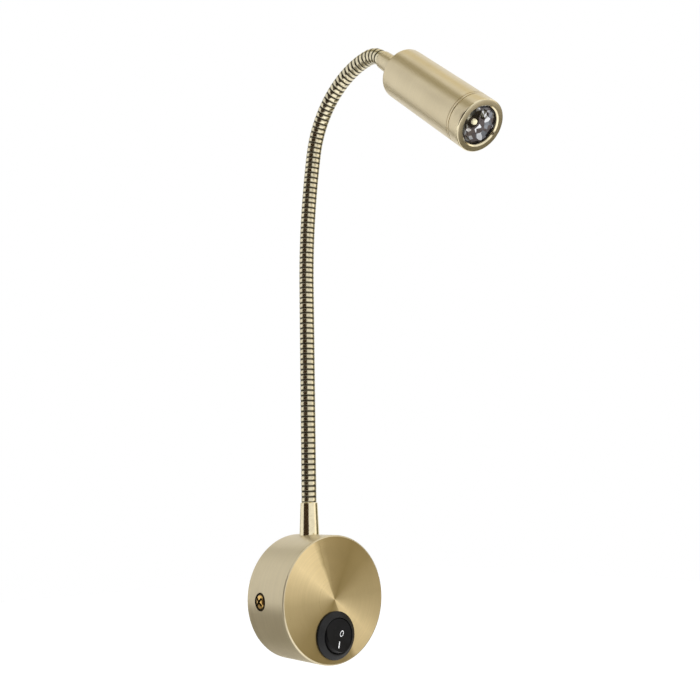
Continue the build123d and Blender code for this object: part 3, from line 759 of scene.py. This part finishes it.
class LAMP_OT_stage(bpy.types.Operator):
    """Set the camera, the floor, the studio lamps and the pale background"""
    bl_idname = "lamp.stage"
    bl_label = "Stage"

    def execute(self, context):
        self.camera(context)
        self.floor(context)
        self.world(context)
        middle = (0, -0.06, 0.12)
        soft_lamp("key_lamp", (-0.45, -0.85, 0.95), middle, (0.8, 0.5), 8.0)
        soft_lamp("front_lamp", (-0.22, -1.15, 0.15), middle, (0.35, 0.9), 5.0)
        self.cards(middle)
        context.scene.view_settings.view_transform = "Standard"
        return {"FINISHED"}

    def cards(self, middle):
        """Dark and warm cards that stand where the curved metal mirrors them."""
        upright = (0, 0, 1)
        head_point, head_way = neck_point(neck_length())
        head_middle = head_point + head_way * 50 * MM
        mirrored_card("left_card", (-1.2, -0.3, 0.1), middle, upright, (1.7, 1.9),
                      (0.05, 0.032, 0.02))
        mirrored_card("rear_card", (-0.15, 0.5, -0.36), middle, (1, 0, 0.3), (0.62, 1.2),
                      (0.36, 0.34, 0.3))
        mirrored_card("bright_card", (0.8, -0.9, 0.1), middle, upright, (0.5, 1.4),
                      (1.35, 1.28, 1.16))
        mirrored_card("side_card", (1.27, -0.34, 0.1), middle, upright, (0.9, 1.6),
                      (0.2, 0.18, 0.1))
        mirrored_card("high_card", head_middle + Vector((-0.26, 0.07, 0.53)), head_middle,
                      head_way, (0.24, 1.2), (0.42, 0.38, 0.26))
        mirrored_card("warm_card", head_middle + Vector((0.12, 0.0, 0.59)), head_middle,
                      head_way, (0.2, 1.2), (0.86, 0.76, 0.5))
        mirrored_card("low_card", head_middle + Vector((0.34, -0.14, -0.4)), head_middle,
                      upright, (0.34, 0.4), (0.2, 0.18, 0.11))
        mirrored_card("back_card", head_middle + Vector((-0.03, 0.6, -0.06)), head_middle,
                      head_way, (0.09, 1.2), (0.16, 0.15, 0.09))

    def camera(self, context):
        """The camera looks from below and from the lamp's left."""
        view = context.scene.lamp_view
        data = bpy.data.cameras.new("camera")
        data.sensor_width = 36.0
        data.lens = view.focal_pixels / IMAGE_SIZE * data.sensor_width
        data.clip_start = 0.01
        camera = bpy.data.objects.new("camera", data)
        # from the aimed point to the camera
        back = Vector((-sin(view.turn) * cos(view.tilt), -cos(view.turn) * cos(view.tilt),
                       -sin(view.tilt)))
        aim = Vector((view.aim_side, 0, view.aim_height))
        right = (-back).cross(Vector((0, 0, 1))).normalized()
        up = right.cross(-back)
        leaned_right = right * cos(view.roll) + up * sin(view.roll)
        leaned_up = up * cos(view.roll) - right * sin(view.roll)
        place = aim + back * view.distance
        camera.matrix_world = Matrix((
            (leaned_right.x, leaned_up.x, back.x, place.x),
            (leaned_right.y, leaned_up.y, back.y, place.y),
            (leaned_right.z, leaned_up.z, back.z, place.z),
            (0, 0, 0, 1)))
        context.collection.objects.link(camera)
        context.scene.camera = camera

    def floor(self, context):
        """A wide sheet of pale paper, well below the lamp."""
        mesh = bpy.data.meshes.new("floor")
        reach, level = 6.0, -0.6
        mesh.from_pydata([(-reach, -reach, level), (reach, -reach, level),
                          (reach, reach, level), (-reach, reach, level)], [], [(0, 1, 2, 3)])
        floor = bpy.data.objects.new("floor", mesh)
        context.collection.objects.link(floor)
        look, tree, shader = new_material("floor_paper")
        path = add(tree, "ShaderNodeLightPath")
        lift = calc(tree, "MAXIMUM", path.outputs["Is Camera Ray"],
                    path.outputs["Is Glossy Ray"])
        glow = ranged(tree, lift, 0.0, 0.55)
        set_inputs(tree, shader, {"Base Color": (0.9, 0.9, 0.9, 1), "Roughness": 0.9,
                                  "Emission Color": (1, 1, 1, 1), "Emission Strength": glow})
        mesh.materials.append(look)

    def world(self, context):
        """White where it is seen or mirrored, and a plain level of light elsewhere."""
        world = bpy.data.worlds.new("studio")
        world.use_nodes = True
        tree = world.node_tree
        tree.nodes.clear()
        seen = add(tree, "ShaderNodeBackground", {"Color": (1, 1, 1, 1), "Strength": 1.0})
        around = add(tree, "ShaderNodeBackground", {"Color": (1, 1, 1, 1), "Strength": 0.6})
        path = add(tree, "ShaderNodeLightPath")
        mirrored = calc(tree, "MAXIMUM", path.outputs["Is Glossy Ray"],
                        path.outputs["Is Transmission Ray"])
        shown = calc(tree, "MAXIMUM", path.outputs["Is Camera Ray"], mirrored)
        mix = add(tree, "ShaderNodeMixShader", {0: shown, 1: around.outputs[0],
                                                2: seen.outputs[0]})
        result = add(tree, "ShaderNodeOutputWorld")
        tree.links.new(mix.outputs[0], result.inputs["Surface"])
        context.scene.world = world


# ------------------------------------------------------------------ base

class LAMP_OT_base_cup(bpy.types.Operator):
    """Turn the drum-shaped cup, its front face and its side, and cut its holes"""
    bl_idname = "lamp.base_cup"
    bl_label = "Base cup"

    sides = 192
    face_step = 1.5 * MM       # longest faces along the outline
    side_step = 3 * MM

    def execute(self, context):
        base = context.scene.lamp_base
        r, d, t, e = base.radius, base.depth, base.wall, base.edge
        split = r - e * 1.02   # the front face ends just inside the rounding
        front = [(0, d - t), (split, d - t), (split, d), (0, d)]
        side = ([(split, d - t), (r - t, d - t), (r - t, base.wall_gap), (r, base.wall_gap)]
                + arc((r - e, d - e), e, 0, 90, 6) + [(split, d)])
        face = turned_mesh("cup_front", front, wall_axes(), self.sides, self.face_step)
        drum = turned_mesh("cup_side", side, wall_axes(), self.sides, self.side_step)
        hole = wall_axes() @ Matrix.Translation((0, -base.switch_drop, 0))
        cut(face, [plain_rod("hole", hole, base.switch_hole, d - 2 * t, d + t)])
        cutters = []
        for side_of in (-1, 1):
            axes = Matrix(((0, 0, side_of, 0), (0, 1, 0, -base.screw_depth),
                           (-side_of, 0, 0, 0), (0, 0, 0, 1)))
            seat = r - base.spotface_depth
            cutters.append(plain_rod("seat", axes, base.spotface, seat, r + t))
        cut(drum, cutters)
        dress(face, "brushed_front", "base", "antique_brass", "base_cover")
        dress(drum, "brushed_side", "base", "antique_brass", "base_cover")
        self.darken_seats(drum, base)
        return {"FINISHED"}

    def darken_seats(self, drum, base):
        """The flats that the screws sit in are painted dark: painted shade round the screw heads.
        """
        drum.data.materials.append(material("aged_recess"))
        lowest = base.radius - 2 * base.spotface_depth
        for face in drum.data.polygons:
            across = hypot(face.center.y + base.screw_depth, face.center.z)
            if across < base.spotface and abs(face.center.x) > lowest:
                face.material_index = 1


class LAMP_OT_switch(bpy.types.Operator):
    """Smooth the switch's bezel, rocker and screws and print the rocker's marks"""
    bl_idname = "lamp.switch"
    bl_label = "Switch and screws"

    # where each mark stands on the rocker's face: across, and up from its crease
    off_mark = (1.35 * MM, 1.47 * MM)
    on_mark = (1.21 * MM, -4.35 * MM)
    off_radius = 1.55 * MM
    off_line = 0.42 * MM
    off_squeeze = 0.66         # the ring's width as a share of its height
    on_half_width = 0.26 * MM
    on_half_length = 1.75 * MM
    mark_bevel = 0.02 * MM
    lift = 0.02 * MM           # the print, off the rocker's face
    thick = 0.06 * MM
    # the rocker's face: its crease in front of the pivot, and the rise of each half
    crown = 1.8 * MM
    half_angle = radians(10)
    screw_face = 0.7 * MM      # how far down from its top a screw's head keeps its brass; below that is painted shade

    def execute(self, context):
        body = smooth_copy("switch_body", "switch_bezel")
        dress(body, "switch_plastic", "base", "black_plastic", "switch_body")
        rocker = smooth_copy("switch_rocker", "switch_key")
        dress(rocker, "rocker_plastic", "rocker", "rocker_plastic", "switch_rocker")
        screws = smooth_copy("side_screws", "side_screw_heads")
        dress(screws, "screw_brass", "base", "bright_brass", "side_screws")
        self.darken_recess(screws)
        self.marks(context)
        return {"FINISHED"}

    def darken_recess(self, screws):
        """All but the heads' outer faces gets painted shade: the cross recess and the rims."""
        screws.data.materials.append(material("aged_recess"))
        top = max(abs(corner.co.x) for corner in screws.data.vertices)
        for face in screws.data.polygons:
            outward = face.normal.x if face.center.x > 0 else -face.normal.x
            if outward < 0.3 or top - abs(face.center.x) > self.screw_face:
                face.material_index = 1

    def marks(self, context):
        """A ring on the half that is pressed in and a bar on the other."""
        inner = self.off_radius - self.off_line
        ring = [(inner, 0), (self.off_radius, 0), (self.off_radius, self.thick),
                (inner, self.thick)]
        oval = Matrix.Diagonal((self.off_squeeze, 1.0, 1, 1))
        mark = turned_mesh("mark_off", ring, self.on_face(*self.off_mark) @ oval, 48)
        dress(mark, "mark_print", "rocker", "rocker_plastic")
        mark = self.bar("mark_on", self.on_face(*self.on_mark), self.on_half_width,
                        self.on_half_length, self.thick)
        dress(mark, "mark_print", "rocker", "rocker_plastic")

    def on_face(self, across, up):
        """Axes on the rocker's face at rest, z out of the face."""
        turn = bpy.context.scene.lamp_base.switch_turn
        height = self.crown + abs(up) * tan(self.half_angle) + self.lift
        slope = self.half_angle if up > 0 else -self.half_angle
        return (Matrix.Translation(joint_at("switch_rock")) @ wall_axes()
                @ Matrix.Rotation(-turn, 4, "Z") @ Matrix.Rotation(-self.half_angle, 4, "X")
                @ Matrix.Translation((across, up, height)) @ Matrix.Rotation(slope, 4, "X"))

    def bar(self, name, axes, half_width, half_length, thick):
        """A flat bar with its edges just broken."""
        mesh = bpy.data.meshes.new(name)
        shape = bmesh.new()
        bmesh.ops.create_cube(shape, size=1.0)
        scale = Matrix.Diagonal((2 * half_width, 2 * half_length, thick, 1))
        shape.transform(axes @ Matrix.Translation((0, 0, thick / 2)) @ scale)
        bmesh.ops.bevel(shape, geom=shape.edges[:], offset=self.mark_bevel, segments=1,
                        affect="EDGES")
        shape.to_mesh(mesh)
        shape.free()
        piece = bpy.data.objects.new(name, mesh)
        bpy.context.collection.objects.link(piece)
        return piece


# ------------------------------------------------------------------ collars and hose

class LAMP_OT_collars(bpy.types.Operator):
    """Smooth the two turned collars of the neck"""
    bl_idname = "lamp.collars"
    bl_label = "Collars"

    def execute(self, context):
        lower = smooth_copy("neck_collar_lower", "collar_on_base")
        dress(lower, "polished_brass", "base", "antique_brass", "neck_collar_lower")
        upper = smooth_copy("neck_collar_upper", "collar_on_head")
        dress(upper, "satin_brass", "head", "antique_brass", "neck_collar_upper")
        return {"FINISHED"}


def ribbed_hose_tree():
    """Geometry Nodes: a centre line becomes a ribbed hose with closed ends."""
    tree = bpy.data.node_groups.new("ribbed_hose", "GeometryNodeTree")
    face = tree.interface
    face.new_socket("Line", in_out="INPUT", socket_type="NodeSocketGeometry")
    for label, kind in (("Pitch", "NodeSocketFloat"), ("Crest radius", "NodeSocketFloat"),
                        ("Root radius", "NodeSocketFloat"), ("Crest power", "NodeSocketFloat"),
                        ("Points", "NodeSocketInt"), ("Sides", "NodeSocketInt"),
                        ("Material", "NodeSocketMaterial")):
        face.new_socket(label, in_out="INPUT", socket_type=kind)
    face.new_socket("Hose", in_out="OUTPUT", socket_type="NodeSocketGeometry")
    source = tree.nodes.new("NodeGroupInput")
    result = tree.nodes.new("NodeGroupOutput")
    line = add(tree, "GeometryNodeResampleCurve", {
        "Curve": source.outputs["Line"], "Count": source.outputs["Points"]})
    along = add(tree, "GeometryNodeSplineParameter")
    ribs = calc(tree, "DIVIDE", along.outputs["Length"], source.outputs["Pitch"])
    wave = calc(tree, "COSINE", calc(tree, "MULTIPLY", ribs, 2 * pi))
    # a rounded crest with a narrow groove: 0 in the groove, 1 over most of the rib
    crest = calc(tree, "POWER", ranged(tree, wave, 0.0, 1.0, start=1.0, stop=-1.0),
                 source.outputs["Crest power"])
    radius = ranged(tree, crest, source.outputs["Root radius"], source.outputs["Crest radius"])
    kept = add(tree, "GeometryNodeStoreNamedAttribute", {
        "Geometry": line.outputs["Curve"], "Name": "rib_height", "Value": crest},
        data_type="FLOAT", domain="POINT")
    sized = add(tree, "GeometryNodeSetCurveRadius", {
        "Curve": kept.outputs["Geometry"], "Radius": radius})
    round_line = add(tree, "GeometryNodeCurvePrimitiveCircle", {
        "Resolution": source.outputs["Sides"], "Radius": 1.0})
    hose = add(tree, "GeometryNodeCurveToMesh", {
        "Curve": sized.outputs["Curve"], "Profile Curve": round_line.outputs["Curve"],
        "Fill Caps": True})
    if "Scale" in hose.inputs:
        tree.links.new(radius, hose.inputs["Scale"])
    smooth = add(tree, "GeometryNodeSetShadeSmooth", {"Geometry": hose.outputs["Mesh"]})
    real = add(tree, "GeometryNodeRealizeInstances", {"Geometry": smooth.outputs["Geometry"]})
    coated = add(tree, "GeometryNodeSetMaterial", {
        "Geometry": real.outputs["Geometry"], "Material": source.outputs["Material"]})
    tree.links.new(coated.outputs["Geometry"], result.inputs["Hose"])
    return tree


class LAMP_OT_hose(bpy.types.Operator):
    """Make the ribbed hose in six lengths, each round one joint of the neck"""
    bl_idname = "lamp.hose"
    bl_label = "Ribbed hose"

    bodies = ("base", "neck_2", "neck_3", "neck_4", "neck_5", "neck_6", "head")
    joint_ribs = (14, 28, 41, 55, 69, 82)
    points_per_rib = 10
    sides = 48
    crest_power = 0.3          # the smaller it is, the flatter the ribs and the finer the grooves
    sharpest_edge = 80.0       # degrees, what still shades smoothly

    def execute(self, context):
        neck = context.scene.lamp_neck
        pitch = neck_length() / neck.rib_count
        look = material("rib_metal")
        tree = ribbed_hose_tree()
        middles = [(a + b) // 2 for a, b in zip(self.joint_ribs, self.joint_ribs[1:])]
        cuts = [0] + middles + [neck.rib_count]
        for k, joint_rib in enumerate(self.joint_ribs):
            piece = self.length_of_hose(tree, f"hose_{k + 1}", cuts[k], cuts[k + 1], pitch, look)
            soften(piece, self.sharpest_edge)
            nodes = [f"hose_segment_{k + 1}"]
            if k == len(self.joint_ribs) - 1:
                nodes.append(f"hose_segment_{k + 2}")
            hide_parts(*nodes)
            pivot = joint_rib * pitch
            start = neck_point(pivot - neck.blend_run)[0]
            end = neck_point(pivot + neck.blend_run)[0]
            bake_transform(piece)
        return {"FINISHED"}

    def length_of_hose(self, tree, name, first, last, pitch, look):
        """The hose from its first to its last rib, as a plain mesh."""
        neck = bpy.context.scene.lamp_neck
        curve = bpy.data.curves.new(name, "CURVE")
        curve.dimensions = "3D"
        spline = curve.splines.new("POLY")
        count = (last - first) * self.points_per_rib + 1
        spline.points.add(count - 1)
        for i in range(count):
            point = neck_point(first * pitch + (last - first) * pitch * i / (count - 1))[0]
            spline.points[i].co = (*point, 1.0)
        piece = bpy.data.objects.new(name, curve)
        bpy.context.collection.objects.link(piece)
        ribs = piece.modifiers.new("ribs", "NODES")
        ribs.node_group = tree
        values = {"Pitch": pitch, "Crest radius": neck.crest, "Root radius": neck.root,
                  "Crest power": self.crest_power, "Points": count, "Sides": self.sides,
                  "Material": look}
        for item in tree.interface.items_tree:
            if item.item_type == "SOCKET" and item.in_out == "INPUT" and item.name in values:
                ribs[item.identifier] = values[item.name]
        graph = bpy.context.evaluated_depsgraph_get()
        mesh = bpy.data.meshes.new_from_object(piece.evaluated_get(graph))
        bpy.data.objects.remove(piece)
        plain = bpy.data.objects.new(name, mesh)
        bpy.context.collection.objects.link(plain)
        return plain


# ------------------------------------------------------------------ head

class LAMP_OT_head(bpy.types.Operator):
    """Turn the head's body and its front ring"""
    bl_idname = "lamp.head"
    bl_label = "Head"

    sides = 160
    body_step = 4 * MM         # longest faces along the outline
    ring_step = 2 * MM
    wall = 1.3 * MM
    rear_wall = 3 * MM
    rear_hole = 3.6 * MM       # radius, for the collar's stub
    broken_edge = 0.1 * MM     # bevel at the body's front rim
    groove_edge = 0.12 * MM    # rounding where the groove meets the ring
    skirt_length = 6 * MM      # the ring's thread, inside the body
    skirt_gap = 1.45 * MM      # the thread's outside and inside, in from the head's radius
    skirt_bore = 2.3 * MM
    flat_share = 0.25          # how far down the outer rim the front face's painted shade goes

    def execute(self, context):
        head = context.scene.lamp_head
        self.front = head.collar + head.length
        self.split = self.front - head.ring
        shell = turned_mesh("head_shell", self.body_outline(head), head_axes(), self.sides,
                            self.body_step)
        dress(shell, "brushed_head", "head", "antique_brass", "head_body")
        nose = turned_mesh("front_ring", self.ring_outline(head), head_axes(), self.sides,
                           self.ring_step)
        dress(nose, "brushed_head", "head", "antique_brass", "bezel_ring")
        self.finish_rims(nose, head)
        return {"FINISHED"}

    def body_outline(self, head):
        """A tube with a thick rear wall, a rounded rear rim and a fine line near its front."""
        r, rear, e = head.radius, head.collar, head.rear_edge
        inner = r - self.wall
        fine, line = head.fine_line, self.split - head.line_back
        return ([(self.rear_hole, rear)] + arc((r - e, rear + e), e, -90, 0, 8)
                + [(r, line - fine / 2), (r - fine, line - fine / 2),
                   (r - fine, line + fine / 2), (r, line + fine / 2),
                   (r, self.split - self.broken_edge), (r - self.broken_edge, self.split),
                   (inner, self.split), (inner, rear + self.rear_wall),
                   (self.rear_hole, rear + self.rear_wall)])

    def ring_outline(self, head):
        """A ring with a groove behind it, rounded in front, with a bevelled opening."""
        r, g, e, b = head.radius, head.groove, head.ring_edge, head.bevel
        front, split, soft = self.front, self.split, self.groove_edge
        thread_end = split - self.skirt_length
        return ([(r - g, split), (r - g, split + g)]
                + arc((r - soft, split + g + soft), soft, -90, 0, 3)
                + arc((r - e, front - e), e, 0, 90, 5)
                + [(head.opening + b, front), (head.opening, front - b),
                   (head.opening, front - head.lip), (r - self.skirt_bore, front - head.lip),
                   (r - self.skirt_bore, thread_end), (r - self.skirt_gap, thread_end),
                   (r - self.skirt_gap, split)])

    def finish_rims(self, nose, head):
        """The ring's flat face is the head's brushed brass darkened into painted shade, and both
        its rims are polished.
        """
        nose.data.materials.append(material("ring_face"))
        nose.data.materials.append(material("polished_rim"))
        to_head = head_axes().inverted()
        for face in nose.data.polygons:
            spot = to_head @ face.center
            behind, out = self.front - spot.z, hypot(spot.x, spot.y)
            if behind < head.bevel and out < head.opening + head.bevel:
                face.material_index = 2
            elif behind < self.flat_share * head.ring_edge:
                face.material_index = 1
            elif behind < head.ring_edge and out > head.radius - head.ring_edge:
                face.material_index = 2


class LAMP_OT_optic(bpy.types.Operator):
    """Make the lens with its faceted dish and the emitter that shows in its middle"""
    bl_idname = "lamp.optic"
    bl_label = "Lens and emitter"

    facets = 14
    # radius and depth behind the head's front face, from the lens's back round to its
    # middle, in millimetres
    outline = ((0, 12.4), (9.8, 12.4), (9.8, 1.95), (8.85, 1.95), (8.5, 2.5), (7.0, 3.7),
               (5.3, 4.5), (3.6, 4.9), (2.9, 5.3), (0, 5.3))
    twist_from = 4             # from this ring on, every other one turns by half a facet
    pocket_radius = 4 * MM     # the pocket round the emitter, in painted shade
    pocket_depth = 4.85 * MM
    lens_back = 12 * MM
    dome_radius = 1.35 * MM
    dome_back = 5.25 * MM      # depths behind the head's front face
    dome_foot = 4.6 * MM
    dome_rise = 1.1 * MM
    dome_sides = 48

    def execute(self, context):
        head = context.scene.lamp_head
        axes = head_axes(head.collar + head.length)
        self.dish(context, axes)
        self.emitter(axes)
        return {"FINISHED"}

    def dish(self, context, axes):
        """The lens: a cup of flat facets with a pocket of painted shade in its middle."""
        mesh = bpy.data.meshes.new("lens_dish")
        shape = bmesh.new()
        rings = []
        for index, (radius, depth) in enumerate(self.outline):
            turn = (index % 2) * pi / self.facets if index >= self.twist_from else 0.0
            rings.append(self.ring(shape, radius * MM, -depth * MM, turn))
        for inner, outer in zip(rings, rings[1:]):
            self.join(shape, inner, outer)
        bmesh.ops.recalc_face_normals(shape, faces=shape.faces)
        shape.transform(axes)
        shape.to_mesh(mesh)
        shape.free()
        dish = bpy.data.objects.new("lens_dish", mesh)
        context.collection.objects.link(dish)
        mesh.materials.append(material("faceted_optic"))
        mesh.materials.append(material("dark_pocket"))
        to_head = axes.inverted()
        for face in mesh.polygons:
            spot = to_head @ face.center
            in_pocket = -self.lens_back < spot.z < -self.pocket_depth
            if in_pocket and spot.xy.length < self.pocket_radius:
                face.material_index = 1
        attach(dish, "head")
        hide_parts("lens")

    def emitter(self, axes):
        """The emitter's dome, as it shows through the lens."""
        wide, rise = self.dome_radius, self.dome_rise
        crown = [(wide * cos(radians(a)), rise * sin(radians(a)) - self.dome_foot)
                 for a in (15, 30, 45, 60, 75)]
        outline = ([(0, -self.dome_back), (wide, -self.dome_back), (wide, -self.dome_foot)]
                   + crown + [(0, rise - self.dome_foot)])
        dome = turned_mesh("emitter_dome", outline, axes, self.dome_sides)
        dress(dome, "emitter_resin", "head", "clear_lens")

    def ring(self, shape, radius, height, turn):
        """The corners of one ring of facets, or one point on the axis."""
        if radius == 0:
            return [shape.verts.new((0, 0, height))]
        step = 2 * pi / self.facets
        return [shape.verts.new((radius * cos(i * step + turn), radius * sin(i * step + turn),
                                 height)) for i in range(self.facets)]

    def join(self, shape, first, second):
        """Flat triangles between two rings, either of which may be a single point."""
        count = self.facets
        for i in range(count):
            n = (i + 1) % count
            if len(first) == 1:
                shape.faces.new((first[0], second[n], second[i]))
            elif len(second) == 1:
                shape.faces.new((first[i], first[n], second[0]))
            else:
                shape.faces.new((first[i], first[n], second[i]))
                shape.faces.new((first[n], second[n], second[i]))


# ------------------------------------------------------------------ inner pieces

class LAMP_OT_inner_pieces(bpy.types.Operator):
    """Give the carried-over pieces inside the lamp their materials"""
    bl_idname = "lamp.inner_pieces"
    bl_label = "Inner pieces"

    looks = {
        "mounting_bracket": "zinc_steel", "neck_washer_lower": "zinc_steel",
        "neck_nut_lower": "zinc_steel", "neck_nut_upper": "zinc_steel",
        "led_driver": "pale_plastic", "terminal_block": "pale_plastic",
        "switch_terminals": "tinned_brass", "switch_wires": "wire_plastic",
        "driver_output_wires": "wire_plastic", "head_wires": "wire_plastic",
        "heat_sink": "turned_aluminium", "led_board": "board_lacquer",
        "led_emitter": "emitter_resin", "lens_holder": "switch_plastic",
        "lens_seal": "seal_rubber",
    }
    lead_lengths = 7

    def execute(self, context):
        looks = dict(self.looks)
        for k in range(self.lead_lengths):
            looks[f"neck_lead_{k + 1}"] = "wire_plastic"
        for node, look in looks.items():
            for slot in frame["nodes"][node].material_slots:
                slot.material = material(look)
        return {"FINISHED"}


class LAMP_PT_panel(bpy.types.Panel):
    """The lamp's pieces and sizes"""
    bl_idname = "LAMP_PT_panel"
    bl_label = "Wall Reading Lamp"
    bl_space_type = "VIEW_3D"
    bl_region_type = "UI"
    bl_category = "Lamp"

    def draw(self, context):
        for operator in OPERATORS:
            self.layout.operator(operator.bl_idname)
        for group in GROUPS:
            box = self.layout.box()
            box.label(text=group.__doc__)
            settings = getattr(context.scene, scene_name(group))
            for prop in group.__annotations__:
                box.prop(settings, prop)


OPERATORS = (LAMP_OT_stage, LAMP_OT_base_cup, LAMP_OT_switch, LAMP_OT_collars, LAMP_OT_hose,
             LAMP_OT_head, LAMP_OT_optic, LAMP_OT_inner_pieces)


def scene_name(group):
    """The scene's property for a group: LampView is lamp_view."""
    return "lamp_" + group.__name__[4:].lower()


def register():
    """Registers the classes and gives the scene its settings."""
    for group in GROUPS:
        bpy.utils.register_class(group)
        setattr(bpy.types.Scene, scene_name(group), PointerProperty(type=group))
    for operator in OPERATORS:
        bpy.utils.register_class(operator)
    bpy.utils.register_class(LAMP_PT_panel)


def unregister():
    """Takes back all that register did."""
    bpy.utils.unregister_class(LAMP_PT_panel)
    for operator in reversed(OPERATORS):
        bpy.utils.unregister_class(operator)
    for group in reversed(GROUPS):
        delattr(bpy.types.Scene, scene_name(group))
        bpy.utils.unregister_class(group)


def main():
    """Makes the whole lamp."""
    register()
    for operator in OPERATORS:
        space, name = operator.bl_idname.split(".")
        getattr(getattr(bpy.ops, space), name)()


if __name__ == "__main__":
    main()
